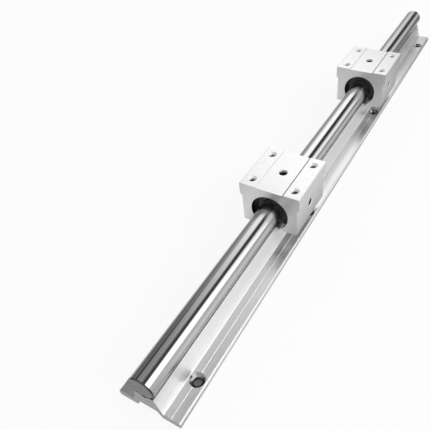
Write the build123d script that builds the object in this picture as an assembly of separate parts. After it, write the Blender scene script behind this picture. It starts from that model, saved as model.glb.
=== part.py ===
from build123d import *
import os
from math import cos, radians, sin, sqrt, tan

# Supported round rail: a hard round shaft screwed to an aluminium support,
# with two open linear bearing blocks that slide along it.
# Millimetres. X runs along the rail, Y across it, Z up from the mounting plane.
# The origin is on that plane, at the middle of the rail.

# Rail
rail_length = 500.0
shaft_diameter = 16.0
shaft_centre_height = 25.0
shaft_end_chamfer = 0.8
base_width = 42.0
base_thickness = 5.0
base_edge_radius = 1.5
web_foot_width = 19.8
web_top_width = 12.4
web_shoulder_radius = 2.6
web_root_radius = 0.8
seat_lip_height = 0.8
seat_relief_width = 3.6
seat_relief_depth = 1.3
recess_width = 17.0
recess_top_width = 11.4
recess_depth = 5.5
recess_corner_radius = 1.0

# Holes in the rail, and the shaft's threads as plain holes of the tapping drill's size
hole_pitch = 150.0
hole_end_distance = 25.0
hole_span = 30.0
hole_diameter = 5.5
countersink_diameter = 9.4
shaft_screw_diameter = 5.0
shaft_screw_clearance = 0.25
shaft_thread_depth = 11.0
shaft_tap_diameter = 4.2

# Housings of the two blocks, their threads as plain holes of the tapping drill's size
block_places = (-84.4, 94.8)
block_length = 45.0
block_width = 45.0
block_top_height = 20.0
block_height = 33.0
block_head_thickness = 9.0
block_body_width = 41.6
block_step_drop = 2.4
block_edge_chamfer = 0.5
block_slot_width = 17.4
top_strip_width = 20.0
top_strip_depth = 0.5
tap_spacing_along = 30.0
tap_spacing_across = 32.0
tap_drill_diameter = 4.2
tap_depth = 12.0
tap_mouth_diameter = 6.4
tap_mouth_angle = 140.0
grease_port_diameter = 6.0
lock_hole_diameter = 5.0

# Open ball bushings
bushing_diameter = 28.0
bushing_length = 37.0
bushing_fit = 0.02
opening_angle = 80.0
end_seal_thickness = 2.5
seal_gap = 0.05
ball_diameter = 3.175
ball_gap = 0.02
balls_in_row = 7
ball_pitch = 3.3
row_angles = (50.0, 120.0)
track_clearance = 0.06
cage_shaft_gap = 0.3
cage_fit = 0.05
cage_lip_thickness = 0.35
cage_lip_opening = 2.7

# Radii and places that follow from the sizes above
shaft_radius = shaft_diameter / 2
seat_top = shaft_centre_height - shaft_radius + seat_lip_height
block_top = shaft_centre_height + block_top_height
bushing_radius = bushing_diameter / 2
housing_bore_radius = bushing_radius + bushing_fit
sleeve_length = bushing_length - 2 * end_seal_thickness
half_opening = opening_angle / 2
ball_radius = ball_diameter / 2
ball_row_radius = shaft_radius + ball_gap + ball_radius
race_radius = ball_row_radius + ball_radius + ball_gap
cage_inner_radius = shaft_radius + cage_shaft_gap
cage_outer_radius = race_radius - cage_fit
hole_count = int((rail_length - 2 * hole_end_distance) / hole_pitch + 1e-6) + 1
first_hole = -(hole_count - 1) * hole_pitch / 2
hole_places = [first_hole + i * hole_pitch for i in range(hole_count)]


# Small helpers

def section(sketch, length, centre=0.0):
    """Extrudes a sketch in Y and Z along X, centred on a place of the rail."""
    return extrude(Plane.YZ.offset(centre - length / 2) * sketch, length)


def bar(radius, start, end, y=0.0, z=shaft_centre_height):
    """A round bar along X between two places."""
    first, last = sorted((start, end))
    return Plane.YZ.offset(first) * Pos(y, z) * extrude(Circle(radius), last - first)


def post(radius, bottom, top, x=0.0, y=0.0):
    """A round bar that stands between two heights."""
    return Pos(x, y, bottom) * extrude(Circle(radius), top - bottom)


def cone(low_radius, high_radius, bottom, top, x=0.0, y=0.0):
    """An upright cone between two heights."""
    height = top - bottom
    return Pos(x, y, bottom + height / 2) * Cone(low_radius, high_radius, height)


def open_ring(outer, inner):
    """A ring round the shaft with a sector left out under it, as a sketch in Y and Z."""
    reach = 2 * outer
    y = reach * sin(radians(half_opening))
    z = reach * cos(radians(half_opening))
    sector = Polygon((0, 0), (-y, -z), (y, -z), align=None)
    return Pos(0, shaft_centre_height) * (Circle(outer) - Circle(inner) - sector)


# Rail

def support_outline():
    """The extruded section: a flat base, a tapered web, a seat and a recess below."""
    base = Pos(0, base_thickness / 2) * Rectangle(base_width, base_thickness)
    base = fillet(base.vertices(), base_edge_radius)
    web = Polygon(
        (-web_foot_width / 2, base_thickness / 2),
        (web_foot_width / 2, base_thickness / 2),
        (web_foot_width / 2, base_thickness),
        (web_top_width / 2, seat_top),
        (-web_top_width / 2, seat_top),
        (-web_foot_width / 2, base_thickness),
        align=None,
    )
    web = fillet(web.vertices().group_by(Axis.Y)[-1], web_shoulder_radius)
    outline = base + web
    roots = outline.vertices().filter_by(lambda v: abs(v.Y - base_thickness) < 1e-6)
    roots = roots.filter_by(lambda v: abs(abs(v.X) - web_foot_width / 2) < 1e-6)
    outline = fillet(roots, web_root_radius)
    outline -= Pos(0, shaft_centre_height) * Circle(shaft_radius)
    relief_bottom = shaft_centre_height - shaft_radius - seat_relief_depth
    outline -= Pos(0, relief_bottom + seat_relief_width / 2) * Rectangle(seat_relief_width, seat_relief_width)
    recess = Polygon(
        (-recess_width / 2, 0),
        (recess_width / 2, 0),
        (recess_top_width / 2, recess_depth),
        (-recess_top_width / 2, recess_depth),
        align=None,
    )
    return outline - fillet(recess.vertices().group_by(Axis.Y)[-1], recess_corner_radius)


def rail_support():
    """The support, cut to length and drilled for the mounting and the shaft screws."""
    body = section(support_outline(), rail_length)
    sink_depth = (countersink_diameter - hole_diameter) / 2
    sink_bottom = base_thickness - sink_depth
    for x in hole_places:
        for y in (-hole_span / 2, hole_span / 2):
            body -= post(hole_diameter / 2, 0, base_thickness, x, y)
            body -= cone(hole_diameter / 2, countersink_diameter / 2, sink_bottom, base_thickness, x, y)
        body -= post(shaft_screw_diameter / 2 + shaft_screw_clearance, 0, shaft_centre_height, x)
    return body


def shaft():
    """The hard shaft, chamfered at both ends and drilled from below for its screws' threads."""
    rod = bar(shaft_radius, -rail_length / 2, rail_length / 2)
    rod = chamfer(rod.edges().filter_by(GeomType.CIRCLE), shaft_end_chamfer)
    underside = shaft_centre_height - shaft_radius
    for x in hole_places:
        rod -= post(shaft_tap_diameter / 2, 0, underside + shaft_thread_depth, x)
    return rod


# Housing

def housing_outline():
    """The block's section: a wide head, a narrower body and a bore that is open below."""
    bottom = block_top - block_height
    head = block_top - block_head_thickness
    outline = Polygon(
        (-block_width / 2, block_top),
        (-block_width / 2, head),
        (-block_body_width / 2, head - block_step_drop),
        (-block_body_width / 2, bottom),
        (block_body_width / 2, bottom),
        (block_body_width / 2, head - block_step_drop),
        (block_width / 2, head),
        (block_width / 2, block_top),
        align=None,
    )
    rows = outline.vertices().group_by(Axis.Y)
    outline = chamfer(rows[0] + rows[-1], block_edge_chamfer)
    outline -= Pos(0, block_top) * Rectangle(top_strip_width, 2 * top_strip_depth)
    outline -= Pos(0, shaft_centre_height) * Circle(housing_bore_radius)
    outline -= Pos(0, bottom) * Rectangle(block_slot_width, 2 * (shaft_centre_height - bottom))
    return outline


def housing(place):
    """An aluminium block, bored for its bushing and drilled for its threads and its grease port."""
    body = section(housing_outline(), block_length, place)
    mouth_depth = (tap_mouth_diameter - tap_drill_diameter) / 2 / tan(radians(tap_mouth_angle / 2))
    for x in (place - tap_spacing_along / 2, place + tap_spacing_along / 2):
        for y in (-tap_spacing_across / 2, tap_spacing_across / 2):
            body -= post(tap_drill_diameter / 2, block_top - tap_depth, block_top, x, y)
            body -= cone(tap_drill_diameter / 2, tap_mouth_diameter / 2, block_top - mouth_depth, block_top, x, y)
    body -= post(grease_port_diameter / 2, shaft_centre_height, block_top, place)
    lock_hole = Plane.XZ * Pos(place, shaft_centre_height) * Circle(lock_hole_diameter / 2)
    return body - extrude(lock_hole, block_width)


# Bushing

def sleeve(place):
    """The hardened sleeve, open below, whose bore is the outer race of the balls."""
    return section(open_ring(bushing_radius, race_radius), sleeve_length, place)


def on_row(angle, along):
    """The frame of a ball's centre: X along the rail, Z away from the shaft's axis."""
    return Pos(along, 0, shaft_centre_height) * Rotation(-angle, 0, 0) * Pos(0, 0, ball_row_radius)


def row_frames(place):
    """The frame at the middle of each loaded row of balls."""
    return [on_row(side * angle, place) for side in (-1, 1) for angle in row_angles]


def ball_cage(place):
    """The moulded cage: a straight track over each loaded row, with a lip that holds the balls in."""
    body = section(open_ring(cage_outer_radius, cage_inner_radius), sleeve_length, place)
    track_length = balls_in_row * ball_pitch
    track_width = ball_diameter + 2 * track_clearance
    lip_top = cage_inner_radius + cage_lip_thickness - ball_row_radius
    for frame in row_frames(place):
        track = Box(track_length, track_width, ball_diameter, align=(Align.CENTER, Align.CENTER, Align.MIN))
        body -= frame * Pos(0, 0, lip_top) * track
        body -= frame * Box(track_length, cage_lip_opening, 2 * ball_diameter)
    return body


def ball():
    """A ball as an even solid of twenty flat faces, its corners on the real ball's surface."""
    golden = (1 + sqrt(5)) / 2
    short = ball_radius / sqrt(1 + golden**2)
    long = golden * short
    signs = [(a, b) for a in (-1, 1) for b in (-1, 1)]
    corners = [(0, a * short, b * long) for a, b in signs]
    corners += [(a * short, b * long, 0) for a, b in signs]
    corners += [(b * long, 0, a * short) for a, b in signs]
    return ConvexPolyhedron(corners)


def balls(place):
    """The balls in the loaded rows of one bushing."""
    one = ball()
    steps = [(k - (balls_in_row - 1) / 2) * ball_pitch for k in range(balls_in_row)]
    return Compound(children=[frame * Pos(step, 0, 0) * one for frame in row_frames(place) for step in steps])


def end_seal(place, side):
    """A moulded end ring that wipes the shaft, its lip just clear of it."""
    centre = place + side * (bushing_length - end_seal_thickness) / 2
    return section(open_ring(bushing_radius, shaft_radius + seal_gap), end_seal_thickness, centre)


# Assembly

def pieces():
    """Every piece by name."""
    found = {"rail_support": rail_support(), "shaft": shaft()}
    for i, place in enumerate(block_places, 1):
        found[f"block_{i}_housing"] = housing(place)
        found[f"block_{i}_sleeve"] = sleeve(place)
        found[f"block_{i}_ball_cage"] = ball_cage(place)
        found[f"block_{i}_balls"] = balls(place)
        found[f"block_{i}_left_end_seal"] = end_seal(place, -1)
        found[f"block_{i}_right_end_seal"] = end_seal(place, 1)
    return found


if __name__ == "__main__":
    os.makedirs("parts", exist_ok=True)
    for name, piece in pieces().items():
        export_step(piece, f"parts/{name}.step")
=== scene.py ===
import math

import bmesh
import bpy
from bpy.props import FloatProperty, FloatVectorProperty, IntProperty, PointerProperty
from bpy.types import NodeSocket, Operator, Panel, PropertyGroup
from mathutils import Matrix, Vector


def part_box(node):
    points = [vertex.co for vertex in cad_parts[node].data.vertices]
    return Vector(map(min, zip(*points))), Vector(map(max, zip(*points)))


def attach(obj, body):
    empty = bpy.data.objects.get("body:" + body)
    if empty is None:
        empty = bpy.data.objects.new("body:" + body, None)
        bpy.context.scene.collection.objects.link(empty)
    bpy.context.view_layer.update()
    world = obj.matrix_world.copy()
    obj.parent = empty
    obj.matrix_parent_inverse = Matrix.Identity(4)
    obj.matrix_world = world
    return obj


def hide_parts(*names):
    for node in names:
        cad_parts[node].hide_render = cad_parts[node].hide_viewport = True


bl_info = {
    "name": "Supported Round Rail",
    "version": (1, 0, 0),
    "blender": (4, 5, 0),
    "location": "3D View > Sidebar > Rail",
    "description": "Dresses the supported round rail and its two bearing blocks, and lights them",
    "category": "Object",
}

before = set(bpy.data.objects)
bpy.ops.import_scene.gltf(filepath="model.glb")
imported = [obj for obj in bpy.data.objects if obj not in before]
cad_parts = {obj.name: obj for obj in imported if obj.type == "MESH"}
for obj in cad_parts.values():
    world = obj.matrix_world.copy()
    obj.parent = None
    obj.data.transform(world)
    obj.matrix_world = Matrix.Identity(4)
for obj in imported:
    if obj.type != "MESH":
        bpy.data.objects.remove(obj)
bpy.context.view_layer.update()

BLOCKS = (1, 2)
SIDES = {"left": -1, "right": 1}


def middle(node, axis):
    """The middle of a node's box along one axis."""
    low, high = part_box(node)
    return (low[axis] + high[axis]) / 2


PLACES = {i: middle(f"block_{i}_housing", 0) for i in BLOCKS}

NEARLY_ZERO = 1e-9
MILLIMETRE = 0.001
MICRON = 0.000001


# Settings

def number(name, description, default, **kind):
    """A number, with its limits and what it measures."""
    return FloatProperty(name=name, description=description, default=default, **kind)


def size(name, description, default):
    """A length in metres."""
    return number(name, description, default, min=0.0, unit="LENGTH", precision=5)


def turn(name, description, degrees):
    """An angle."""
    return number(name, description, math.radians(degrees), subtype="ANGLE")


def share(name, description, default):
    """A number between nought and one."""
    return number(name, description, default, min=0.0, max=1.0, subtype="FACTOR")


def colour(name, description, default):
    """A colour without its alpha."""
    words = {"name": name, "description": description, "default": default}
    return FloatVectorProperty(**words, size=3, min=0.0, max=1.0, subtype="COLOR")


class RailSizes(PropertyGroup):
    """Sizes of the shaft and its support."""
    length: size("Length", "Length of the shaft and the support", 0.5)
    shaft_radius: size("Shaft radius", "Radius of the round shaft", 0.008)
    shaft_height: size("Shaft height", "Height of the shaft's axis above the mounting plane", 0.025)
    shaft_chamfer: size("Shaft chamfer", "Chamfer at both ends of the shaft", 0.00065)
    base_width: size("Base width", "Width of the support's base", 0.042)
    base_thickness: size("Base thickness", "Thickness of the base's flanges", 0.005)
    base_radius: size("Base edge radius", "Rounding of the base's outer edges", 0.0015)
    web_foot: size("Web foot", "Half the width of the web where it leaves the base", 0.0099)
    web_root: size("Web root", "Rounding between the web and the base", 0.0008)
    web_top: size("Web top", "Half the width of the web at its top", 0.0062)
    web_shoulder: size("Web shoulder", "Rounding of the web's top edges", 0.0003)
    seat_lip: size("Seat lip", "Height of the seat's edges above the bottom of the shaft", 0.0008)
    relief_width: size("Relief width", "Width of the slot under the shaft's seat", 0.0036)
    relief_depth: size("Relief depth", "Depth of that slot below the bottom of the shaft", 0.0013)
    recess_foot: size("Recess foot", "Half the width of the recess in the underside", 0.0085)
    recess_top: size("Recess top", "Half the width of that recess at its top", 0.0057)
    recess_depth: size("Recess depth", "Depth of that recess", 0.0055)
    recess_radius: size("Recess radius", "Rounding in that recess", 0.001)
    mark_depth: size("Drill line depth", "Depth of the line along which the flanges are drilled", 0.0002)
    hole_pitch: size("Hole pitch", "Distance between neighbouring mounting holes", 0.15)
    hole_count: IntProperty(name="Holes", description="Mounting holes in each flange", default=4, min=1)
    hole_span: size("Hole span", "Distance between the two rows of mounting holes", 0.03)
    hole_radius: size("Hole radius", "Radius of a mounting hole", 0.00275)
    sink_radius: size("Countersink radius", "Radius of a mounting hole's mouth", 0.0047)


class BlockSizes(PropertyGroup):
    """Sizes of the bearing blocks and what is in them."""
    length: size("Length", "Length of a block along the rail", 0.045)
    width: size("Width", "Width of a block's head", 0.045)
    body_width: size("Body width", "Width of a block below its head", 0.0416)
    top: size("Top", "Height of a block's top above the mounting plane", 0.045)
    bottom: size("Bottom", "Height of a block's underside above the mounting plane", 0.012)
    head_bottom: size("Head bottom", "Height where the head starts to draw in", 0.036)
    body_top: size("Body top", "Height where the head has drawn in to the body", 0.0336)
    chamfer: size("Chamfer", "Chamfer along a block's long edges", 0.0005)
    slot_width: size("Slot width", "Width of the slot that lets the support through", 0.0174)
    strip_width: size("Strip width", "Width of the relieved strip along the top", 0.02)
    strip_depth: size("Strip depth", "Depth of that strip", 0.0005)
    strip_edge: size("Strip edge", "Chamfer of the lands beside that strip", 0.00045)
    # Painted shade: the width of the dark line painted along the land on the -Y side of the strip
    strip_shade_line: size("Strip line", "Width of the oily line along that chamfer", 0.0005)
    bore_radius: size("Bore radius", "Radius of the seat of the bushing", 0.01402)
    tap_along: size("Tap spacing along", "Distance between the tapped holes along the rail", 0.03)
    tap_across: size("Tap spacing across", "Distance between the tapped holes across the rail", 0.032)
    tap_radius: size("Tap radius", "Radius of the bottom of a thread in a block", 0.0025)
    tap_depth: size("Tap depth", "Depth of a tapped hole", 0.012)
    mouth_radius: size("Mouth radius", "Radius of a tapped hole's mouth", 0.0033)
    port_radius: size("Port radius", "Radius of the grease port", 0.003)
    lock_hole: size("Lock hole", "Radius of the threaded hole of the lock screw", 0.003)
    thread_pitch: size("Thread pitch", "Distance between neighbouring turns of a thread", 0.0008)
    thread_height: size("Thread height", "Height of a thread's ridge above the wall of its hole", 0.0004)
    opening: turn("Opening", "Half the angle of the opening under the bushing", 40)
    sleeve_length: size("Sleeve length", "Length of the hard sleeve between the end seals", 0.032)
    seal_thickness: size("Seal thickness", "Thickness of an end seal", 0.0025)
    seal_radius: size("Seal radius", "Outer radius of an end seal", 0.01395)
    lip_radius: size("Lip radius", "Radius of the seal's lip round the shaft", 0.00805)
    ring_thickness: size("Ring thickness", "Thickness of a retaining ring", 0.0012)
    ring_outer: size("Ring outer radius", "Outer radius of a retaining ring in its groove", 0.0146)
    ring_inner: size("Ring inner radius", "Inner radius of a retaining ring", 0.01255)
    groove_radius: size("Groove radius", "Radius of the groove of a retaining ring", 0.0147)
    ball_radius: size("Ball radius", "Radius of a ball", 0.0015875)
    ball_row: size("Ball row radius", "Distance of the balls' centres from the shaft's axis", 0.0096075)
    ball_pitch: size("Ball pitch", "Distance between neighbouring balls", 0.0033)
    balls: IntProperty(name="Balls", description="Balls in each loaded row", default=7, min=1)
    upper_row: turn("Upper rows", "Angle of the upper rows of balls from straight up", 50)
    lower_row: turn("Lower rows", "Angle of the lower rows of balls from straight up", 120)


class ScrewSizes(PropertyGroup):
    """Sizes of the screws."""
    head_radius: size("Head radius", "Radius of the head of a shaft screw", 0.00425)
    head_length: size("Head length", "Length of that head", 0.005)
    head_sink: size("Head sink", "Height of that head above the mounting plane", 0.0005)
    shank_radius: size("Shank radius", "Radius of a shaft screw", 0.00245)
    shank_length: size("Shank length", "Length of a shaft screw under its head", 0.02)
    socket: size("Socket", "Radius through the corners of the hexagon socket", 0.00231)
    socket_depth: size("Socket depth", "Depth of that socket", 0.0025)
    lock_radius: size("Lock screw radius", "Radius of the screw that holds the bushing", 0.00295)
    lock_length: size("Lock screw length", "Length of that screw's threaded part", 0.0024)
    lock_socket: size("Lock socket", "Radius through the corners of its hexagon socket", 0.00173)
    lock_end: size("Lock screw end", "Distance of its outer end from the rail's middle plane", 0.0168)


class Finishes(PropertyGroup):
    """Colours and gloss."""
    extrusion: colour("Extrusion", "Colour of the extruded aluminium", (0.9, 0.904, 0.91))
    extrusion_gloss: share("Extrusion roughness", "Roughness of the extruded aluminium", 0.36)
    chrome: colour("Shaft", "Colour of the ground shaft", (0.56, 0.563, 0.57))
    chrome_gloss: share("Shaft roughness", "Roughness of the ground shaft", 0.14)
    housing: colour("Housing", "Colour of the blocks' satin faces", (0.6, 0.602, 0.605))
    housing_gloss: share("Housing roughness", "Roughness of the blocks' satin faces", 0.28)
    steel: colour("Sleeve", "Colour of the ground sleeve", (0.6, 0.61, 0.62))
    oxide: colour("Black oxide", "Colour of the screws and the retaining rings", (0.02, 0.02, 0.021))
    hollow: colour("Hole walls", "Colour of the walls of the tapped holes and ports", (0.87, 0.87, 0.87))
    rubber: colour("Seal", "Colour of the end seals", (0.018, 0.018, 0.019))
    resin: colour("Cage", "Colour of the moulded cages", (0.04, 0.04, 0.043))


class StageSettings(PropertyGroup):
    """The studio."""
    focal_length: number("Focal length", "Focal length of the camera", 40.624, subtype="DISTANCE_CAMERA")
    ambient: number("Ambient", "Strength of the room's light on the object", 0.75, min=0.0)
    softbox: number("Softbox", "Brightness of the long softbox beside the rail", 1.6, min=0.0)
    feather: number("Feather", "Width in degrees of the soft edges between the panels", 8.0, min=0.1)


# Outlines

def rounded(corners, steps=6):
    """The points of a closed outline. A corner is (y, z), or (y, z, radius) where it is rounded."""
    points = []
    for i, corner in enumerate(corners):
        here = Vector(corner[:2])
        if len(corner) < 3:
            points.append(here)
            continue
        before = (Vector(corners[i - 1][:2]) - here).normalized()
        after = (Vector(corners[(i + 1) % len(corners)][:2]) - here).normalized()
        half = before.angle(after) / 2
        centre = here + (before + after).normalized() * corner[2] / math.sin(half)
        first = here + before * corner[2] / math.tan(half) - centre
        last = here + after * corner[2] / math.tan(half) - centre
        sweep = first.angle_signed(last)
        points += [centre + Matrix.Rotation(-sweep * k / steps, 2) @ first for k in range(steps + 1)]
    return points


def arc(centre, radius, start, end, steps):
    """Points of an arc about a height on the middle plane. Angles run from straight up towards +Y."""
    angles = [start + (end - start) * k / steps for k in range(steps + 1)]
    return [(radius * math.sin(a), centre + radius * math.cos(a)) for a in angles]


def mirrored(half):
    """A closed outline from its half, which starts and ends on the middle plane."""
    return half + [(-c[0], *c[1:]) for c in reversed(half) if abs(c[0]) > NEARLY_ZERO]


# Solids

AXES = {
    "X": Matrix.Rotation(math.pi / 2, 3, "Y"),
    "Y": Matrix.Rotation(-math.pi / 2, 3, "X"),
    "Z": Matrix.Identity(3),
}


def add_prism(mesh, outline, start, end):
    """Adds an outline in Y and Z, drawn out along X."""
    rings = [[mesh.verts.new((x, *p)) for p in outline] for x in (start, end)]
    count = len(outline)
    for i in range(count):
        j = (i + 1) % count
        mesh.faces.new((rings[0][i], rings[0][j], rings[1][j], rings[1][i]))
    mesh.faces.new(rings[0])
    mesh.faces.new(rings[1])


def add_turned(mesh, profile, origin, axis="Z", steps=48):
    """Adds a turned solid. Its profile is (distance along the axis, radius) from end to end."""
    rings = []
    for along, radius in profile:
        angles = [2 * math.pi * k / steps for k in range(steps if radius > NEARLY_ZERO else 1)]
        places = [Vector((radius * math.cos(a), radius * math.sin(a), along)) for a in angles]
        rings.append([mesh.verts.new(Vector(origin) + AXES[axis] @ place) for place in places])
    for low, high in zip(rings, rings[1:]):
        for k in range(steps):
            j = (k + 1) % steps
            corners = [low[k % len(low)], low[j % len(low)], high[j % len(high)], high[k % len(high)]]
            mesh.faces.new(list(dict.fromkeys(corners)))
    for ring in (rings[0], rings[-1]):
        if len(ring) > 1:
            mesh.faces.new(ring)


def add_swept(mesh, loop, height, start, end, steps):
    """Adds a loop of (x, radius) swept round the shaft's axis. Angles run from straight up towards +Y."""
    whole = abs(end - start - 2 * math.pi) < NEARLY_ZERO
    count = steps if whole else steps + 1
    rings = []
    for k in range(count):
        a = start + (end - start) * k / steps
        rings.append([mesh.verts.new((x, r * math.sin(a), height + r * math.cos(a))) for x, r in loop])
    for k in range(steps):
        here, there = rings[k], rings[(k + 1) % count]
        for i in range(len(loop)):
            j = (i + 1) % len(loop)
            mesh.faces.new((here[i], here[j], there[j], there[i]))
    if not whole:
        mesh.faces.new(rings[0])
        mesh.faces.new(rings[-1])


def new_object(name, data):
    """A new object of the scene."""
    made = bpy.data.objects.new(name, data)
    bpy.context.scene.collection.objects.link(made)
    return made


def object_of(name, mesh):
    """An object that takes over a mesh that is done."""
    data = bpy.data.meshes.new(name)
    mesh.to_mesh(data)
    mesh.free()
    return new_object(name, data)


def solid(name, *parts):
    """An object from calls that add to its mesh, each a function and its arguments."""
    mesh = bmesh.new()
    for add, *arguments in parts:
        add(mesh, *arguments)
    bmesh.ops.recalc_face_normals(mesh, faces=mesh.faces)
    return object_of(name, mesh)


def settle(piece):
    """Turns what the modifiers make into the piece's own mesh."""
    bpy.context.view_layer.update()
    graph = bpy.context.evaluated_depsgraph_get()
    seen = piece.evaluated_get(graph)
    data = bpy.data.meshes.new_from_object(seen, preserve_all_data_layers=True, depsgraph=graph)
    old = piece.data
    piece.modifiers.clear()
    piece.data = data
    bpy.data.meshes.remove(old)
    data.name = piece.name


def cut(piece, *parts):
    """Takes solids away from a piece."""
    cutter = solid("cutter", *parts)
    work = piece.modifiers.new("Cut", "BOOLEAN")
    work.operation = "DIFFERENCE"
    work.solver = "EXACT"
    work.object = cutter
    settle(piece)
    bpy.data.meshes.remove(cutter.data)


def ease(piece, width, angle=35):
    """Breaks the sharp edges of a piece and evens its shading."""
    piece.data.shade_smooth()
    bevel = piece.modifiers.new("Edges", "BEVEL")
    bevel.width = width
    bevel.segments = 2
    bevel.limit_method = "ANGLE"
    bevel.angle_limit = math.radians(angle)
    bevel.miter_outer = "MITER_ARC"
    normals = piece.modifiers.new("Shading", "WEIGHTED_NORMAL")
    normals.keep_sharp = True
    normals.weight = 80
    settle(piece)


def coat(piece, *materials):
    """Gives a piece its materials."""
    for material in materials:
        piece.data.materials.append(material)


def coat_ends(piece, index, limit=0.98):
    """Gives the faces that look along the rail a material of their own."""
    for face in piece.data.polygons:
        if abs(face.normal.x) > limit:
            face.material_index = index


def assemble(piece, body, slot, *nodes):
    """Ties a finished piece to its body and hides the nodes that it stands for. The slot is not used."""
    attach(piece, body)
    if nodes:
        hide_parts(*nodes)


# Materials

# The sockets of a Mix node that hold its two colours and their mix
MIX_FIRST, MIX_SECOND, MIX_RESULT = 6, 7, 2


def add_node(tree, kind, inputs=None, **settings):
    """A new node with its settings and inputs, which are values, other nodes' outputs or lists of them."""
    made = tree.nodes.new(kind)
    for key, value in settings.items():
        setattr(made, key, value)
    for key, value in (inputs or {}).items():
        for one in value if isinstance(value, list) else [value]:
            if isinstance(one, NodeSocket):
                tree.links.new(one, made.inputs[key])
            else:
                made.inputs[key].default_value = one
    return made


def shaded(base, part):
    """A colour times a number."""
    return [min(1, c * part) for c in base]


class Finish:
    """A material that is built node by node on the object's own coordinates."""

    def __init__(self, name, base, roughness, metallic=1.0):
        self.material = bpy.data.materials.new(name)
        self.material.use_nodes = True
        self.tree = self.material.node_tree
        self.shader = self.tree.nodes["Principled BSDF"].inputs
        self.shader["Metallic"].default_value = metallic
        self.shader["Roughness"].default_value = roughness
        self.shader["Base Color"].default_value = (*base, 1)
        self.base = base
        self.coordinates = self.node("ShaderNodeTexCoord").outputs["Object"]
        self.height = None

    def node(self, kind, inputs=None, **settings):
        """A new node of this material."""
        return add_node(self.tree, kind, inputs, **settings)

    def link(self, output, name):
        """Leads an output to the shader."""
        self.tree.links.new(output, self.shader[name])

    def sum(self, operation, *values):
        """The result of one operation on some values."""
        return self.node("ShaderNodeMath", dict(enumerate(values)), operation=operation).outputs[0]

    def noise(self, scale, detail=3.0, roughness=0.55, tilt=0.0):
        """Noise of so many waves in a metre along each axis, or along all alike, tilted about X."""
        scale = scale if isinstance(scale, tuple) else (scale, scale, scale)
        inputs = {"Vector": self.coordinates, "Rotation": (tilt, 0, 0), "Scale": scale}
        place = self.node("ShaderNodeMapping", inputs).outputs[0]
        inputs = {"Vector": place, "Scale": 1.0, "Detail": detail, "Roughness": roughness}
        return self.node("ShaderNodeTexNoise", inputs).outputs["Fac"]

    def spread(self, value, low, high, start=0.3, end=0.7):
        """A value brought from its own range to another."""
        inputs = {"Value": value, "From Min": start, "From Max": end, "To Min": low, "To Max": high}
        return self.node("ShaderNodeMapRange", inputs).outputs[0]

    def tint(self, value, dark, light=1.0):
        """Shades the colour between two shares of itself."""
        mix = self.node("ShaderNodeMix", {0: self.spread(value, 0, 1)}, data_type="RGBA")
        mix.inputs[MIX_FIRST].default_value = (*shaded(self.base, dark), 1)
        mix.inputs[MIX_SECOND].default_value = (*shaded(self.base, light), 1)
        self.link(mix.outputs[MIX_RESULT], "Base Color")

    def dull(self, value, low, high):
        """Changes the roughness between two values."""
        self.link(self.spread(value, low, high), "Roughness")

    def emboss(self, value, microns, strength):
        """Adds a relief of so many microns to the surface."""
        inputs = {"Height": value, "Distance": microns * MICRON, "Strength": strength}
        if self.height:
            inputs["Normal"] = self.height
        self.height = self.node("ShaderNodeBump", inputs).outputs[0]
        self.link(self.height, "Normal")

    def brush(self, amount, rotation=0.0):
        """Stretches what the metal mirrors along the rail or across it."""
        self.link(self.node("ShaderNodeTangent", direction_type="RADIAL", axis="X").outputs[0], "Tangent")
        self.shader["Anisotropic"].default_value = amount
        self.shader["Anisotropic Rotation"].default_value = rotation


def ground_shaft(look):
    """Ground and polished hard steel, with the faint rings that the grinding wheel leaves."""
    gloss = look.chrome_gloss
    made = Finish("ground_shaft", look.chrome, gloss)
    made.brush(1.0, rotation=0.25)
    made.dull(made.noise((8, 900, 900), 2.0), gloss * 0.9, gloss * 1.15)
    made.tint(made.noise((25, 120, 120)), dark=0.965)
    made.emboss(made.noise((9000, 60, 60), 2.0), microns=0.6, strength=0.5)
    return made.material


def shaded_turned_end(look, height):
    """The shaft's faced end, with the rings of the turning tool, in a darker copy of the shaft's colour as
    painted shade.
    """
    ring_width = 0.00022
    # Painted shade: under a third of the shaft's colour
    made = Finish("shaded_turned_end", shaded(look.chrome, 0.28), 0.42)
    inputs = {"Vector": made.coordinates, "Location": (0, 0, -height), "Scale": (0, 1, 1)}
    place = made.node("ShaderNodeMapping", inputs).outputs[0]
    radius = made.node("ShaderNodeVectorMath", {0: place}, operation="LENGTH").outputs["Value"]
    rings = made.sum("SINE", made.sum("MULTIPLY", radius, 2 * math.pi / ring_width))
    made.emboss(rings, microns=4, strength=0.6)
    made.tint(made.noise(300, 4.0), dark=0.86)
    made.dull(made.noise(800), 0.36, 0.5)
    return made.material


def shaded_blunt_edge(look):
    """The dull chamfers at the shaft's ends, in a darker copy of the shaft's colour as painted shade."""
    # Painted shade: about a sixth of the shaft's colour
    made = Finish("shaded_blunt_edge", shaded(look.chrome, 0.16), 0.4)
    made.tint(made.noise(600), dark=0.8)
    made.dull(made.noise(900), 0.34, 0.5)
    return made.material


def drawn_aluminium(look):
    """Extruded aluminium with the fine lines of the die along the rail."""
    gloss = look.extrusion_gloss
    made = Finish("drawn_aluminium", look.extrusion, gloss)
    made.brush(0.8)
    lines = made.noise((3, 2200, 2200), 4.0, 0.65)
    made.tint(lines, dark=0.9, light=1.04)
    made.dull(made.noise((6, 260, 260), 2.0), gloss * 0.85, gloss * 1.2)
    made.emboss(lines, microns=5, strength=0.4)
    made.emboss(made.noise(900, 2.0), microns=3, strength=0.2)
    return made.material


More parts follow.
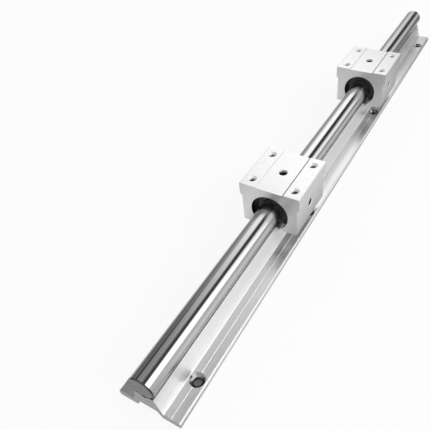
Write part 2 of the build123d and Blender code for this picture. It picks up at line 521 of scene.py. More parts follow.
def shaded_drilled_aluminium(look):
    """The walls and countersinks of the mounting holes, and the seat beside the shaft, in a darker copy of
    the extrusion's colour as painted shade.
    """
    # Painted shade: a little over a third of the extrusion's colour
    made = Finish("shaded_drilled_aluminium", shaded(look.extrusion, 0.36), 0.18)
    marks = made.noise((900, 900, 5000))
    made.tint(marks, dark=0.8)
    made.dull(made.noise(900), 0.14, 0.24)
    made.emboss(marks, microns=5, strength=0.3)
    return made.material


def shaded_sawn_aluminium(look):
    """The sawn ends of the extrusion, with faint marks across them, in a darker copy of its colour as painted
    shade.
    """
    # Painted shade: a little over a third of the extrusion's colour
    made = Finish("shaded_sawn_aluminium", shaded(look.extrusion, 0.37), 0.45)
    marks = made.noise((60, 400, 5200), tilt=math.radians(24))
    made.tint(marks, dark=0.8, light=1.05)
    made.dull(made.noise(500), 0.38, 0.55)
    made.emboss(marks, microns=12, strength=0.6)
    return made.material


def satin_housing(look):
    """Satin anodised aluminium with a fine even grain."""
    gloss = look.housing_gloss
    made = Finish("satin_housing", look.housing, gloss)
    made.tint(made.noise((45, 60, 60)), dark=0.985)
    made.dull(made.noise(300), gloss * 0.95, gloss * 1.05)
    made.emboss(made.noise((2600, 4200, 4200)), microns=1, strength=0.1)
    return made.material


def milled_housing(look):
    """The blocks' milled faces, with fine parallel tool marks."""
    gloss = look.housing_gloss
    made = Finish("milled_housing", look.housing, gloss * 0.9)
    marks = made.noise((70, 3000, 3000), 3.0, 0.6)
    made.tint(marks, dark=0.98)
    made.dull(made.noise((200, 500, 500)), gloss * 0.9, gloss * 1.05)
    made.emboss(marks, microns=2, strength=0.1)
    return made.material


def faced_housing(look):
    """The blocks' end faces, milled straight across."""
    gloss = look.housing_gloss * 1.3
    made = Finish("faced_housing", look.housing, gloss)
    marks = made.noise((60, 90, 3600), 3.0, 0.6)
    made.tint(marks, dark=0.97)
    made.dull(made.noise(400), gloss * 0.96, gloss * 1.04)
    made.emboss(marks, microns=2, strength=0.1)
    return made.material


def drilled_housing(look, top, side):
    """The walls of the blocks' tapped holes and ports, darkened with depth by painted shade."""
    side_rate = 3.0
    unevenness = 0.0008
    shade_starts, full_shade = 0.0012, 0.0042
    made = Finish("drilled_housing", look.hollow, 0.42, metallic=0.3)
    place = made.node("ShaderNodeSeparateXYZ", {0: made.coordinates}).outputs
    down = made.sum("SUBTRACT", top, place["Z"])
    inward = made.sum("MULTIPLY_ADD", made.sum("ABSOLUTE", place["Y"]), -side_rate, side * side_rate)
    marks = made.noise((300, 300, 4000))
    depth = made.sum("MULTIPLY_ADD", marks, unevenness, made.sum("MINIMUM", down, inward))
    # Painted shade: the colour falls to a twentieth of itself between these depths below the top or in from
    # the side
    made.tint(made.spread(depth, 1, 0, shade_starts, full_shade), dark=0.05)
    made.dull(made.noise(700), 0.36, 0.5)
    made.emboss(marks, microns=6, strength=0.3)
    return made.material


def painted_shade_metal(look):
    """Bare metal darkened as painted shade and painted reflection: bores outside the bushings and edges
    beside a step or the shaft.
    """
    # Painted shade: six hundredths of the housing's colour
    made = Finish("painted_shade_metal", shaded(look.housing, 0.06), 0.4)
    made.tint(made.noise((80, 500, 500)), dark=0.7, light=1.3)
    made.dull(made.noise((400, 900, 900)), 0.32, 0.5)
    made.emboss(made.noise((5000, 60, 60), 2.0), microns=4, strength=0.3)
    return made.material


def ground_sleeve(look):
    """The bushing's ground sleeve."""
    made = Finish("ground_sleeve", look.steel, 0.24)
    made.dull(made.noise((5000, 200, 200)), 0.18, 0.32)
    made.tint(made.noise((80, 200, 200)), dark=0.9)
    made.emboss(made.noise((6000, 80, 80), 2.0), microns=3, strength=0.5)
    return made.material


def black_oxide(look):
    """Blackened steel with a slight oily sheen."""
    made = Finish("black_oxide", look.oxide, 0.42, metallic=0.6)
    made.tint(made.noise(700, 4.0), dark=0.7, light=1.35)
    made.dull(made.noise(1500), 0.36, 0.52)
    made.emboss(made.noise(4000), microns=4, strength=0.4)
    return made.material


def bright_ball(look):
    """A polished bearing ball."""
    made = Finish("bright_ball", look.chrome, 0.06)
    made.dull(made.noise(1200), 0.04, 0.1)
    made.tint(made.noise(500), dark=0.94)
    return made.material


def seal_rubber(look):
    """The black moulded rubber of the end seals."""
    made = Finish("seal_rubber", look.rubber, 0.3, metallic=0.0)
    made.tint(made.noise(900), dark=0.75, light=1.5)
    made.dull(made.noise(1400), 0.25, 0.38)
    made.emboss(made.noise(5000), microns=8, strength=0.35)
    return made.material


def moulded_resin(look):
    """The dark moulded plastic of the ball cages."""
    made = Finish("moulded_resin", look.resin, 0.4, metallic=0.0)
    made.tint(made.noise(400), dark=0.85, light=1.2)
    made.dull(made.noise(900), 0.34, 0.5)
    made.emboss(made.noise(3500), microns=6, strength=0.3)
    return made.material


# Trees of geometry nodes

class Tree:
    """A tree of geometry nodes with named inputs, of which the last is the material."""

    def __init__(self, name, numbers, counts=(), vectors=("place",)):
        self.tree = bpy.data.node_groups.new(name, "GeometryNodeTree")
        self.tree.interface.new_socket("Geometry", in_out="OUTPUT", socket_type="NodeSocketGeometry")
        self.sockets = {}
        kinds = {"Float": numbers, "Int": counts, "Vector": vectors, "Material": ("material",)}
        for kind, keys in kinds.items():
            for key in keys:
                label = key.replace("_", " ").capitalize()
                made = self.tree.interface.new_socket(label, in_out="INPUT", socket_type=f"NodeSocket{kind}")
                self.sockets[key] = made.identifier
        self.inside = self.tree.nodes.new("NodeGroupInput")

    def take(self, key):
        """The output of the group's input node for one named input."""
        return next(o for o in self.inside.outputs if o.identifier == self.sockets[key])

    def node(self, kind, inputs=None, **settings):
        """The first output of a new node of this tree."""
        return add_node(self.tree, kind, inputs, **settings).outputs[0]

    def sum(self, operation, first, second):
        """The result of one operation on two values."""
        return self.node("ShaderNodeMath", {0: first, 1: second}, operation=operation)

    def vector(self, x=0.0, y=0.0, z=0.0):
        """A vector from three values."""
        return self.node("ShaderNodeCombineXYZ", {0: x, 1: y, 2: z})

    def moved(self, geometry, offset=(0, 0, 0), rotation=(0, 0, 0)):
        """A geometry that is turned and moved."""
        inputs = {"Geometry": geometry, "Translation": offset, "Rotation": rotation}
        return self.node("GeometryNodeTransform", inputs)

    def row(self, height=0.0):
        """Points in a row along X, centred over the middle at a height."""
        count, pitch = self.take("count"), self.take("pitch")
        length = self.sum("MULTIPLY", self.sum("SUBTRACT", count, 1), pitch)
        start = self.vector(self.sum("MULTIPLY", length, -0.5), 0.0, height)
        inputs = {"Count": count, "Start Location": start, "Offset": self.vector(pitch)}
        return self.node("GeometryNodeMeshLine", inputs)

    def copies(self, points, instance):
        """An instance on each of some points."""
        return self.node("GeometryNodeInstanceOnPoints", {"Points": points, "Instance": instance})

    def finish(self, geometry, even=False):
        """Makes the instances real, sets their shading and material, and closes the tree."""
        real = self.node("GeometryNodeRealizeInstances", {"Geometry": geometry})
        shade = self.node("GeometryNodeSetShadeSmooth", {"Geometry": real, "Shade Smooth": even})
        inputs = {"Geometry": shade, "Material": self.take("material")}
        add_node(self.tree, "NodeGroupOutput", {0: self.node("GeometryNodeSetMaterial", inputs)})

    def build(self, name, **values):
        """A plain mesh that the tree makes with these values."""
        piece = new_object(name, bpy.data.meshes.new(name))
        work = piece.modifiers.new(name, "NODES")
        work.node_group = self.tree
        for key, value in values.items():
            work[self.sockets[key]] = value
        settle(piece)
        return piece


def ball_tree():
    """Rows of balls on both sides of the middle plane."""
    tree = Tree("ball_rows", ("pitch", "ball_radius", "row_radius", "upper_angle", "lower_angle"), ("count",))
    line = tree.row(tree.take("row_radius"))
    rows = []
    for key in ("upper_angle", "lower_angle"):
        for side in SIDES.values():
            angle = tree.sum("MULTIPLY", tree.take(key), side)
            rows.append(tree.moved(line, tree.take("place"), tree.vector(angle)))
    points = tree.node("GeometryNodeJoinGeometry", {0: rows})
    inputs = {"Radius": tree.take("ball_radius"), "Subdivisions": 3}
    tree.finish(tree.copies(points, tree.node("GeometryNodeMeshIcoSphere", inputs)), even=True)
    return tree


def thread_tree():
    """The ridges of threads that stand down from the mouths of four holes in a rectangle."""
    tree = Tree("tap_threads", ("along", "across", "radius", "pitch", "ridge", "depth"))
    radius, depth = tree.take("radius"), tree.take("depth")
    spiral = tree.node("GeometryNodeCurveSpiral", {
        "Resolution": 28, "Rotations": tree.sum("DIVIDE", depth, tree.take("pitch")),
        "Start Radius": radius, "End Radius": radius, "Height": depth,
    })
    upright = tree.node("GeometryNodeSetCurveNormal", {"Curve": spiral}, mode="Z_UP")
    ridge = tree.node("GeometryNodeCurvePrimitiveCircle", {"Resolution": 4, "Radius": tree.take("ridge")})
    coil = tree.node("GeometryNodeCurveToMesh", {"Curve": upright, "Profile Curve": ridge, "Fill Caps": True})
    corners = tree.node("GeometryNodeMeshGrid", {
        "Size X": tree.take("along"), "Size Y": tree.take("across"), "Vertices X": 2, "Vertices Y": 2,
    })
    sunk = tree.moved(coil, tree.vector(z=tree.sum("MULTIPLY", depth, -1.0)))
    tree.finish(tree.copies(tree.moved(corners, tree.take("place")), sunk))
    return tree


def screw_tree():
    """A row of socket screws. They stand on their heads, and are turned and moved together."""
    sizes = ("head_radius", "head_length", "rim", "socket", "socket_depth", "shank_radius", "shank_length")
    tree = Tree("socket_screws", ("pitch", *sizes), ("count",), ("rotation", "place"))
    radius, length, rim, socket, depth, shank, shank_length = [tree.take(key) for key in sizes]
    flare, taper, dish = 1.25, 0.8, 0.45

    def rod(low, high, height, bottom, vertices=48):
        """A round rod or frustum that stands on a height."""
        inputs = {"Vertices": vertices, "Radius Top": high, "Radius Bottom": low, "Depth": height}
        return tree.moved(tree.node("GeometryNodeMeshCone", inputs), tree.vector(z=bottom))

    def times(value, factor):
        """A value times a number."""
        return tree.sum("MULTIPLY", value, factor)

    body = rod(radius, radius, tree.sum("SUBTRACT", length, rim), rim)
    edge = rod(tree.sum("SUBTRACT", radius, rim), radius, rim, 0.0)
    join = {"operation": "UNION", "solver": "EXACT"}
    head = tree.node("GeometryNodeMeshBoolean", {"Mesh 2": [body, edge]}, **join)
    hexagon = rod(socket, socket, times(depth, 2.0), times(depth, -1.0), 6)
    mouth = rod(times(socket, flare), times(socket, taper), rim, times(rim, -dish))
    take_away = {"operation": "DIFFERENCE", "solver": "EXACT"}
    hollow = tree.node("GeometryNodeMeshBoolean", {"Mesh 1": head, "Mesh 2": [hexagon, mouth]}, **take_away)
    stem = rod(shank, shank, shank_length, length)
    tip = rod(shank, tree.sum("SUBTRACT", shank, rim), rim, tree.sum("ADD", length, shank_length))
    screw = tree.node("GeometryNodeJoinGeometry", {0: [hollow, stem, tip]})
    row = tree.copies(tree.row(), tree.moved(screw, rotation=tree.take("rotation")))
    tree.finish(tree.moved(row, tree.take("place")))
    return tree


# Pieces

# The materials of the support, the shaft and the housings, by their places in the piece's list
DRAWN, SAWN, CUT = range(3)
GROUND, TURNED, BLUNT = range(3)
SATIN, FACED, MILLED, DRILLED, PAINTED_SHADE = range(5)

# How many sides the round pieces have
SHAFT_SIDES, GROOVE_SIDES, RING_SIDES, BORE_SIDES, TAP_SIDES = 192, 144, 120, 80, 32

# How far off a face's middle may be and still count as on a surface, and how far a cutter reaches past one
NEAR = 0.0001
REACH = 0.001


def hole_places(s):
    """The places of the mounting holes along the rail."""
    return [(k - (s.hole_count - 1) / 2) * s.hole_pitch for k in range(s.hole_count)]


def well(radius, bottom, top, rim, over):
    """The profile of a drilled hole with an eased rim."""
    return [(bottom, radius), (top - rim, radius), (top + over, radius + rim + over)]


def band(near, far, inner, outer):
    """The section of a flat ring."""
    return [(near, inner), (far, inner), (far, outer), (near, outer)]


class SupportBuilder(Operator):
    """Builds the extruded support of the shaft"""
    bl_idname = "rail.support"
    bl_label = "Support"

    def execute(self, context):
        s, look = context.scene.rail_sizes, context.scene.rail_finishes
        bottom = s.shaft_height - s.shaft_radius
        seat_top = bottom + s.seat_lip
        lip_angle = math.acos((s.shaft_height - seat_top) / s.shaft_radius)
        relief_angle = math.asin(s.relief_width / 2 / s.shaft_radius)
        row = s.hole_span / 2
        half_mark = s.mark_depth * 1.3
        half = [
            (0, s.recess_depth),
            (s.recess_top, s.recess_depth, s.recess_radius),
            (s.recess_foot, 0),
            (s.base_width / 2, 0, s.base_radius),
            (s.base_width / 2, s.base_thickness, s.base_radius),
            (row + half_mark, s.base_thickness),
            (row, s.base_thickness - s.mark_depth),
            (row - half_mark, s.base_thickness),
            (s.web_foot, s.base_thickness, s.web_root),
            (s.web_top, seat_top, s.web_shoulder),
            *arc(s.shaft_height, s.shaft_radius, math.pi - lip_angle, math.pi - relief_angle, 5),
            (s.relief_width / 2, bottom - s.relief_depth),
            (0, bottom - s.relief_depth),
        ]
        outline = rounded(mirrored(half), 8)
        piece = solid("extruded_support", (add_prism, outline, -s.length / 2, s.length / 2))
        over = 0.00025
        drill = [
            (-REACH, s.hole_radius),
            (s.base_thickness - (s.sink_radius - s.hole_radius), s.hole_radius),
            (s.base_thickness + over, s.sink_radius + over),
        ]
        through = [(s.recess_depth / 2, s.hole_radius), (s.shaft_height, s.hole_radius)]
        places = hole_places(s)
        cutters = []
        for x in places:
            cutters += [(add_turned, drill, (x, side * row, 0)) for side in (-1, 1)]
            cutters.append((add_turned, through, (x, 0, 0)))
        cut(piece, *cutters)
        ease(piece, width=0.00012)
        coat(piece, drawn_aluminium(look), shaded_sawn_aluminium(look), shaded_drilled_aluminium(look))
        # Painted shade: the seat's lips beside the shaft take the darker hole colour
        for face in piece.data.polygons:
            if face.center.z > seat_top - 3 * NEAR:
                face.material_index = CUT
        coat_ends(piece, SAWN)
        # Painted shade: the countersinks and walls of the mounting holes take the darker hole colour
        for face in piece.data.polygons:
            x, y, z = face.center
            off = min(math.hypot(x - place, abs(y) - row) for place in places)
            if off < s.sink_radius and 2 * NEAR < z < s.base_thickness - NEAR:
                face.material_index = CUT
        assemble(piece, "rail", "support", "rail_support")
        return {"FINISHED"}


class ShaftBuilder(Operator):
    """Builds the hard round shaft"""
    bl_idname = "rail.shaft"
    bl_label = "Shaft"

    def execute(self, context):
        s, b, look = context.scene.rail_sizes, context.scene.block_sizes, context.scene.rail_finishes
        end, radius, chamfer = s.length / 2, s.shaft_radius, s.shaft_chamfer
        soft = 0.00004
        side = [
            (end - chamfer - soft, radius), (end - chamfer + soft, radius - soft),
            (end - soft, radius - chamfer + soft), (end, radius - chamfer - soft),
        ]
        profile = [(-x, r) for x, r in reversed(side)] + side
        piece = solid("round_shaft", (add_turned, profile, (0, 0, s.shaft_height), "X", SHAFT_SIDES))
        bottom = s.shaft_height - radius
        depth, tip = 0.011, 0.0012
        tap = [(bottom - REACH, b.tap_radius), (bottom + depth, b.tap_radius), (bottom + depth + tip, 0)]
        cut(piece, *[(add_turned, tap, (x, 0, 0), "Z", TAP_SIDES) for x in hole_places(s)])
        piece.data.shade_smooth()
        piece.data.set_sharp_from_angle(angle=math.radians(25))
        # The end and its chamfers take darker copies of the shaft's colour: painted shade
        coat(piece, ground_shaft(look), shaded_turned_end(look, s.shaft_height), shaded_blunt_edge(look))
        coat_ends(piece, BLUNT, limit=0.2)
        coat_ends(piece, TURNED, limit=0.999)
        assemble(piece, "rail", "shaft", "shaft")
        return {"FINISHED"}


class ShaftScrewBuilder(Operator):
    """Builds the screws that hold the shaft to its support from below"""
    bl_idname = "rail.shaft_screws"
    bl_label = "Shaft Screws"

    def execute(self, context):
        s, w = context.scene.rail_sizes, context.scene.screw_sizes
        rim = 0.0004
        piece = screw_tree().build(
            "shaft_screws", count=s.hole_count, pitch=s.hole_pitch, rim=rim, head_radius=w.head_radius,
            head_length=w.head_length, socket=w.socket, socket_depth=w.socket_depth,
            shank_radius=w.shank_radius, shank_length=w.shank_length - rim, rotation=(0, 0, 0),
            place=(0, 0, w.head_sink), material=black_oxide(context.scene.rail_finishes),
        )
        assemble(piece, "rail", "fastener_steel")
        return {"FINISHED"}


class HousingBuilder(Operator):
    """Builds the housings of both blocks"""
    bl_idname = "rail.housings"
    bl_label = "Housings"

    def execute(self, context):
        b, look = context.scene.block_sizes, context.scene.rail_finishes
        centre = context.scene.rail_sizes.shaft_height
        slot, side, c = b.slot_width / 2, b.body_width / 2, b.chamfer
        flat, sloping, leaning, endways = 0.99, 0.9, 0.3, 0.5
        strip = b.top - b.strip_depth
        land = b.strip_width / 2 + b.strip_edge
        half = [
            (0, strip),
            (b.strip_width / 2, strip),
            (b.strip_width / 2, b.top - b.strip_edge),
            (land, b.top),
            (land + b.strip_shade_line, b.top),
            (b.width / 2 - c, b.top),
            (b.width / 2, b.top - c),
            (b.width / 2, b.head_bottom),
            (side, b.body_top),
            (side, b.bottom + c),
            (side - c, b.bottom),
            (slot, b.bottom),
            *arc(centre, b.bore_radius, math.pi - math.asin(slot / b.bore_radius), 0, BORE_SIDES),
        ]
        outline = rounded(mirrored(half))
        dresses = [satin_housing(look), faced_housing(look), milled_housing(look)]
        dresses += [drilled_housing(look, b.top, side), painted_shade_metal(look)]
        bottom, sink = b.top - b.tap_depth, b.mouth_radius - b.tap_radius
        tip, over, rim, play = 0.0014, 0.0004, 0.0003, 0.0001
        tap = [(bottom - tip, 0), (bottom, b.tap_radius), (b.top - sink, b.tap_radius)]
        tap.append((b.top + over, b.mouth_radius + over))
        lock_start = 0.0125
        port = well(b.port_radius, centre, strip, rim, over)
        lock = [(-out, radius) for out, radius in reversed(well(b.lock_hole, lock_start, side, rim, over))]
        seat = b.sleeve_length / 2 + b.seal_thickness
        foot = b.bore_radius - 0.0008
        turn_start = 0.013
        turn_end = turn_start + 2 * math.pi
        for i, x in PLACES.items():
            cutters = [(add_turned, port, (x, 0, 0)), (add_turned, lock, (x, 0, centre), "Y")]
            taps = [(x + h * b.tap_along / 2, k * b.tap_across / 2) for h in (-1, 1) for k in (-1, 1)]
            cutters += [(add_turned, tap, (*place, 0)) for place in taps]
            for along in (-1, 1):
                near, far = x + along * seat, x + along * (seat + b.ring_thickness + play)
                groove = band(near, far, foot, b.groove_radius)
                cutters.append((add_swept, groove, centre, turn_start, turn_end, GROOVE_SIDES))
            piece = solid(f"block_{i}_body", (add_prism, outline, x - b.length / 2, x + b.length / 2))
            cut(piece, *cutters)
            ease(piece, width=0.00018)
            coat(piece, *dresses)
            coat_ends(piece, FACED)
            wells = [(x, 0, b.port_radius + rim)] + [(*place, b.mouth_radius) for place in taps]
            for face in piece.data.polygons:
                where, facing = face.center, face.normal
                from_axis = math.hypot(where.y, where.z - centre)
                from_lock = math.hypot(where.x - x, where.z - centre)
                # Painted shade: a dark line on the land beside the strip on the -Y side
                if facing.z > flat and where.z > b.top - 2 * NEAR:
                    face.material_index = PAINTED_SHADE if -land - b.strip_shade_line < where.y < 0 else MILLED
                elif facing.z < sloping and where.z > centre + b.bore_radius * 0.7:
                    if any(math.hypot(where.x - u, where.y - v) < r + NEAR for u, v, r in wells):
                        face.material_index = DRILLED
                elif from_lock < b.lock_hole + rim and -side < where.y < -lock_start:
                    face.material_index = DRILLED
                # Painted reflection: the bore's walls outside the bushings are painted dark, as the black
                # seals would look in them
                elif abs(where.x - x) > seat and from_axis < b.groove_radius and abs(facing.x) < endways:
                    face.material_index = PAINTED_SHADE
                # Painted highlight and painted shade: the strip's chamfer on the +Y side takes the bright
                # hole-wall colour, the one on the -Y side the painted shade
                elif where.z > strip and abs(where.y) < land and abs(facing.y) > leaning:
                    face.material_index = DRILLED if where.y > 0 else PAINTED_SHADE
            assemble(piece, f"block_{i}", "housing", f"block_{i}_housing")
        return {"FINISHED"}


class ThreadBuilder(Operator):
    """Builds the threads in the blocks' tapped holes"""
    bl_idname = "rail.threads"
    bl_label = "Threads"

    def execute(self, context):
        b = context.scene.block_sizes
        tree = thread_tree()
        dress = drilled_housing(context.scene.rail_finishes, b.top, b.body_width / 2)
        lead = 0.0006
        for i, x in PLACES.items():
            piece = tree.build(
                f"block_{i}_threads", along=b.tap_along, across=b.tap_across, radius=b.tap_radius,
                pitch=b.thread_pitch, ridge=b.thread_height, depth=b.tap_depth - 2 * lead,
                place=(x, 0, b.top - lead), material=dress,
            )
            assemble(piece, f"block_{i}", "housing")
        return {"FINISHED"}


class BushingFinisher(Operator):
    """Gives the bushings' sleeves and cages their materials"""
    bl_idname = "rail.bushings"
    bl_label = "Bushings"

    def execute(self, context):
        look = context.scene.rail_finishes
        for end, dress in (("sleeve", ground_sleeve(look)), ("ball_cage", moulded_resin(look))):
            for i in BLOCKS:
                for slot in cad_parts[f"block_{i}_{end}"].material_slots:
                    slot.material = dress
        return {"FINISHED"}


class BallBuilder(Operator):
    """Builds the rows of balls"""
    bl_idname = "rail.balls"
    bl_label = "Balls"

    def execute(self, context):
        b = context.scene.block_sizes
        centre = context.scene.rail_sizes.shaft_height
        tree = ball_tree()
        dress = bright_ball(context.scene.rail_finishes)
        for i, x in PLACES.items():
            piece = tree.build(
                f"block_{i}_ball_rows", count=b.balls, pitch=b.ball_pitch, ball_radius=b.ball_radius,
                row_radius=b.ball_row, upper_angle=b.upper_row, lower_angle=b.lower_row,
                place=(x, 0, centre), material=dress,
            )
            assemble(piece, f"block_{i}", "ball_steel", f"block_{i}_balls")
        return {"FINISHED"}


class SealBuilder(Operator):
    """Builds the seals at both ends of the bushings"""
    bl_idname = "rail.seals"
    bl_label = "End Seals"

    def execute(self, context):
        b = context.scene.block_sizes
        centre = context.scene.rail_sizes.shaft_height
        dress = seal_rubber(context.scene.rail_finishes)
        lip = [(0, 0.9), (0.35, 0.3), (0.55, 0), (0.68, 0.1)]
        lip += [(0.8, 0.8), (0.86, 1.4), (0.86, 2.2), (0.52, 2.6)]
        rim = [(0.52, 2.1), (0.9, 1.8), (1, 1.5), (1, 0.3), (0.9, 0), (0, 0)]
        shape = [(part, b.lip_radius + out * MILLIMETRE) for part, out in lip]
        shape += [(part, b.seal_radius - inward * MILLIMETRE) for part, inward in rim]
        edge = b.opening + math.radians(0.3)
        for i, x in PLACES.items():
            for name, side in SIDES.items():
                inner = b.sleeve_length / 2
                loop = [(x + side * (inner + b.seal_thickness * part), r) for part, r in shape]
                sweep = (add_swept, loop, centre, edge - math.pi, math.pi - edge, RING_SIDES)
                piece = solid(f"block_{i}_{name}_wiper", sweep)
                ease(piece, width=0.0001, angle=28)
                coat(piece, dress)
                assemble(piece, f"block_{i}", "seal_rubber", f"block_{i}_{name}_end_seal")
        return {"FINISHED"}


class RetainingRingBuilder(Operator):
    """Builds the open rings that hold the bushings in their housings"""
    bl_idname = "rail.retaining_rings"
    bl_label = "Retaining Rings"

    def execute(self, context):
        b = context.scene.block_sizes
        centre = context.scene.rail_sizes.shaft_height
        dress = black_oxide(context.scene.rail_finishes)
        end = math.pi - b.opening - math.radians(12)
        seat = b.sleeve_length / 2 + b.seal_thickness
        play = 0.00005
        for i, x in PLACES.items():
            for name, side in SIDES.items():
                near, far = x + side * (seat + play), x + side * (seat + b.ring_thickness)
                loop = band(near, far, b.ring_inner, b.ring_outer)
                piece = solid(f"block_{i}_{name}_ring", (add_swept, loop, centre, -end, end, RING_SIDES))
                ease(piece, width=0.00008)
                coat(piece, dress)
                assemble(piece, f"block_{i}", "fastener_steel")
        return {"FINISHED"}


class LockScrewBuilder(Operator):
    """Builds the screws that keep the bushings from turning"""
    bl_idname = "rail.lock_screws"
    bl_label = "Lock Screws"

    def execute(self, context):
        w, b = context.scene.screw_sizes, context.scene.block_sizes
        centre = context.scene.rail_sizes.shaft_height
        tree = screw_tree()
        dress = black_oxide(context.scene.rail_finishes)
        rim = 0.0003
        point = w.lock_end - w.lock_length - b.bore_radius - rim
        for i, x in PLACES.items():
            piece = tree.build(
                f"block_{i}_lock_screw", count=1, pitch=0.0, head_radius=w.lock_radius, rim=rim,
                head_length=w.lock_length, socket=w.lock_socket, socket_depth=w.lock_length * 0.6,
                shank_radius=w.lock_radius * 0.65, shank_length=point, rotation=(-math.pi / 2, 0, 0),
                place=(x, -w.lock_end, centre), material=dress,
            )
            assemble(piece, f"block_{i}", "fastener_steel")
        return {"FINISHED"}


# Stage

# The camera's place in metres, its turn in degrees, and the shift that frames the rail
CAMERA_PLACE = (-0.318569, -0.119692, 0.256245)
CAMERA_TURN = (47.139, 4.228, -60.566)
CAMERA_SHIFT = (-0.0698, -0.0163)

# The softbox's length and width, its place along the rail, and its angle from straight up in degrees
SOFTBOX_SIZE = (2.2, 0.42)
SOFTBOX_PLACE = 0.1
SOFTBOX_ANGLE = -57

# The cards' distance from the shaft, and how far down they reach on both sides, in degrees from straight up
CARD_DISTANCE = 1.0
CARD_REACH = 104
CARD_STEP = 2

# The surround of grey cards in stretches, which glow only in reflections as painted reflections: each has its
# start and end along the rail in metres, and its panels as two angles from straight up towards +Y, in
# degrees, and a grey
SURROUND = (
    (-1.0, 0.2, (
        (-180, -78, 0.78), (-76, -35, 2.2), (-35, -8, 0.08), (-8, 5, 0.24), (5, 33, 0.32), (33, 58, 0.06),
        (58, 180, 0.18),
    )),
    (0.75, 1.62, (
        (-180, -82, 0.5), (-78, -50, 1.5), (-50, -40, 0.66), (-40, -6, 0.06), (-2, 44, 1.85), (44, 56, 1.05),
        (56, 68, 0.7), (68, 180, 0.42),
    )),
    (1.7, 1.8, (
        (-180, -78, 0.2), (-78, -50, 0.9), (-50, -38, 0.3), (-38, -2, 0.04), (4, 44, 1.95), (44, 180, 0.42),
    )),
    (1.95, 4.5, (
        (-180, -76, 0.15), (-76, -50, 0.73), (-50, -38, 0.28), (-38, 2, 0.03), (2, 12, 0.3), (12, 20, 0.6),
        (20, 58, 0.76), (58, 180, 0.47),
    )),
)

# The floor beside the rail as the metal mirrors it, with painted shadow near the rail and painted light along
# it: for each side, distances from the middle plane with a grey at each, and what share of that grey it has
# at each of the places along the rail
FLOOR_LIGHT_HEIGHT = 0.0005
FLOOR_LIGHT_PLACES = (-1.5, -0.27, -0.2, -0.12, 0.0, 0.13, 0.25, 0.5, 3.0)
FLOOR_LIGHT_AND_SHADE = (
    (
        1, ((0.0215, 1.15), (0.035, 1.3), (0.05, 1.0), (0.08, 0.7), (0.165, 0.43), (1.0, 0.42)),
        (0.87, 0.87, 0.87, 0.87, 0.86, 0.9, 0.95, 0.95, 0.95),
    ),
    (
        -1, ((0.0215, 0.25), (0.025, 0.5), (0.036, 0.9), (0.062, 0.8), (0.11, 0.72), (1.0, 0.65)),
        (0.5, 0.4, 1.2, 1.1, 1.05, 0.92, 0.4, 0.3, 0.3),
    ),
)


def emptied(owner):
    """The emptied node tree of a new material or world."""
    owner.use_nodes = True
    owner.node_tree.nodes.clear()
    return owner.node_tree


def pale_rays(tree):
    """One for rays that should see the pale studio: the camera's, and those that metal or glass sends on."""
    path = add_node(tree, "ShaderNodeLightPath").outputs
    seen = path["Is Camera Ray"]
    for other in ("Is Glossy Ray", "Is Transmission Ray"):
        seen = add_node(tree, "ShaderNodeMath", {0: seen, 1: path[other]}, operation="MAXIMUM").outputs[0]
    return seen


def stage_material(name, paint, glow, glow_share):
    """A painted surface that glows to the camera and in reflections, and keeps a trace of shadow."""
    material = bpy.data.materials.new(name)
    tree = emptied(material)
    diffuse = add_node(tree, "ShaderNodeBsdfDiffuse", {"Color": (paint, paint, paint, 1)})
    emission = add_node(tree, "ShaderNodeEmission", {"Strength": glow})
    part = add_node(tree, "ShaderNodeMath", {0: pale_rays(tree), 1: glow_share}, operation="MULTIPLY")
    inputs = {0: part.outputs[0], 1: diffuse.outputs[0], 2: emission.outputs[0]}
    mix = add_node(tree, "ShaderNodeMixShader", inputs)
    add_node(tree, "ShaderNodeOutputMaterial", {0: mix.outputs[0]})
    return material


def reflection_glow_material():
    """The grey cards round the rail, each glowing as bright as its own value: painted reflections, seen only
    by the metal.
    """
    material = bpy.data.materials.new("reflection_cards")
    tree = emptied(material)
    level = add_node(tree, "ShaderNodeAttribute", attribute_name="level")
    emission = add_node(tree, "ShaderNodeEmission", {"Strength": level.outputs["Fac"]})
    add_node(tree, "ShaderNodeOutputMaterial", {0: emission.outputs[0]})
    return material


def slab(name, length, width, bottom, top, material):
    """A slab under the rail, centred on it."""
    corners = [(-width / 2, bottom), (width / 2, bottom), (width / 2, top), (-width / 2, top)]
    made = solid(name, (add_prism, corners, -length / 2, length / 2))
    coat(made, material)
    return made


def brightness(panels, angle, feather):
    """The grey of a stretch of the surround at an angle, with soft edges between its panels."""
    grey = 1.0
    for first, last, shade in panels:
        inside = min((angle - first) / feather, (last - angle) / feather) + 0.5
        grey += (shade - grey) * min(1, max(0, inside))
    return grey


def add_sheet(mesh, level, rows):
    """Joins rows of (place, grey) into a sheet that keeps each point's grey."""
    made = []
    for row in rows:
        made.append([mesh.verts.new(place) for place, grey in row])
        for vert, (place, grey) in zip(made[-1], row):
            vert[level] = grey
    for low, high in zip(made, made[1:]):
        for i in range(len(low) - 1):
            mesh.faces.new((low[i], low[i + 1], high[i + 1], high[i]))


def room(ambient):
    """The room's light, which is white to the camera and in reflections."""
    world = bpy.data.worlds.new("room")
    tree = emptied(world)
    inputs = {"Value": pale_rays(tree), "To Min": ambient, "To Max": 1.0}
    strength = add_node(tree, "ShaderNodeMapRange", inputs)
    back = add_node(tree, "ShaderNodeBackground", {"Color": (1, 1, 1, 1), "Strength": strength.outputs[0]})
    add_node(tree, "ShaderNodeOutputWorld", {0: back.outputs[0]})
    return world


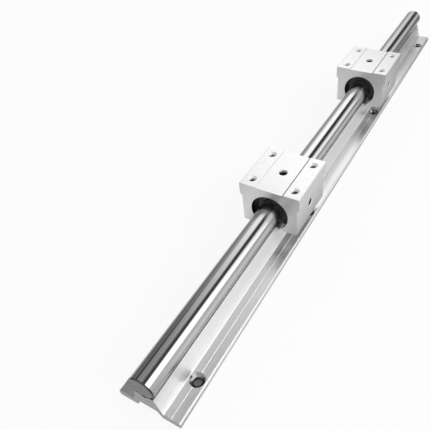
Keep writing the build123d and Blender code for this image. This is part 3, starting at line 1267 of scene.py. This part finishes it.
class StageBuilder(Operator):
    """Builds the floor, the lights, the glowing cards that the metal mirrors as painted reflections, and the
    camera
    """
    bl_idname = "rail.stage"
    bl_label = "Stage"

    def execute(self, context):
        scene = context.scene
        setup = scene.stage_settings
        height = scene.rail_sizes.shaft_height
        scene.view_settings.view_transform = "Standard"
        scene.world = room(setup.ambient)

        pale = stage_material("pale_floor", paint=0.94, glow=1.0, glow_share=0.86)
        floor = slab("floor", length=12, width=12, bottom=-0.0104, top=-0.0004, material=pale)
        # Painted shadow: a dark slab just under the rail, seen through its holes, in place of its contact
        # shadow
        dark = stage_material("painted_shadow_floor", paint=0.35, glow=0.0, glow_share=0.0)
        shade = slab("shade", length=0.48, width=0.038, bottom=-0.0003, top=-0.0001, material=dark)

        mesh = bmesh.new()
        level = mesh.verts.layers.float.new("level")
        rows = []
        for angle in range(-CARD_REACH, CARD_REACH + 1, CARD_STEP):
            a = math.radians(angle)
            y, z = CARD_DISTANCE * math.sin(a), height + CARD_DISTANCE * math.cos(a)
            greys = [brightness(panels, angle, setup.feather) for *ends, panels in SURROUND]
            rows.append([((x, y, z), grey) for (*ends, panels), grey in zip(SURROUND, greys) for x in ends])
        add_sheet(mesh, level, rows)
        # Painted shadow and painted light of the floor, seen only in reflections
        for side, strips, shares in FLOOR_LIGHT_AND_SHADE:
            parts = list(zip(FLOOR_LIGHT_PLACES, shares))
            rows = [[((x, side * y, FLOOR_LIGHT_HEIGHT), grey * part) for x, part in parts] for y, grey in strips]
            add_sheet(mesh, level, rows)
        reflection_cards = object_of("reflection_cards", mesh)
        coat(reflection_cards, reflection_glow_material())
        # Painted reflections: the cards glow only for the metal's reflections, never for the camera, diffuse
        # light or shadows
        reflection_cards.visible_camera = reflection_cards.visible_diffuse = False
        reflection_cards.visible_shadow = reflection_cards.visible_transmission = False

        lamp = bpy.data.lights.new("softbox", "AREA")
        lamp.shape = "RECTANGLE"
        lamp.size, lamp.size_y = SOFTBOX_SIZE
        lamp.energy = setup.softbox * math.pi * lamp.size * lamp.size_y
        softbox = new_object("softbox", lamp)
        a = math.radians(SOFTBOX_ANGLE)
        y, z = CARD_DISTANCE * math.sin(a), height + CARD_DISTANCE * math.cos(a)
        softbox.location = (SOFTBOX_PLACE, y, z)
        softbox.rotation_euler = Vector((0, -y, height - z)).to_track_quat("-Z", "Y").to_euler()
        softbox.visible_camera = softbox.visible_glossy = False

        lens = bpy.data.cameras.new("camera")
        lens.sensor_width = 36
        lens.lens = setup.focal_length
        lens.shift_x, lens.shift_y = CAMERA_SHIFT
        lens.clip_start, lens.clip_end = 0.01, 50
        lens.dof.use_dof = False
        camera = new_object("camera", lens)
        camera.location = CAMERA_PLACE
        camera.rotation_euler = [math.radians(a) for a in CAMERA_TURN]
        scene.camera = camera
        return {"FINISHED"}


STEPS = (
    SupportBuilder, ShaftBuilder, ShaftScrewBuilder, HousingBuilder, ThreadBuilder, BushingFinisher,
    BallBuilder, SealBuilder, RetainingRingBuilder, LockScrewBuilder, StageBuilder,
)


class RailPanel(Panel):
    """Lists the steps that build the rail"""
    bl_idname = "VIEW3D_PT_rail"
    bl_label = "Supported Rail"
    bl_space_type = "VIEW_3D"
    bl_region_type = "UI"
    bl_category = "Rail"

    def draw(self, context):
        for step in STEPS:
            self.layout.operator(step.bl_idname)


GROUPS = {
    "rail_sizes": RailSizes, "block_sizes": BlockSizes, "screw_sizes": ScrewSizes,
    "rail_finishes": Finishes, "stage_settings": StageSettings,
}


def register():
    for group in (*GROUPS.values(), *STEPS, RailPanel):
        bpy.utils.register_class(group)
    for name, group in GROUPS.items():
        setattr(bpy.types.Scene, name, PointerProperty(type=group))


def unregister():
    for name in GROUPS:
        delattr(bpy.types.Scene, name)
    for group in reversed((*GROUPS.values(), *STEPS, RailPanel)):
        bpy.utils.unregister_class(group)


def main():
    """Registers everything, and builds every piece and the stage."""
    register()
    for step in STEPS:
        family, name = step.bl_idname.split(".")
        getattr(getattr(bpy.ops, family), name)()


if __name__ == "__main__":
    main()
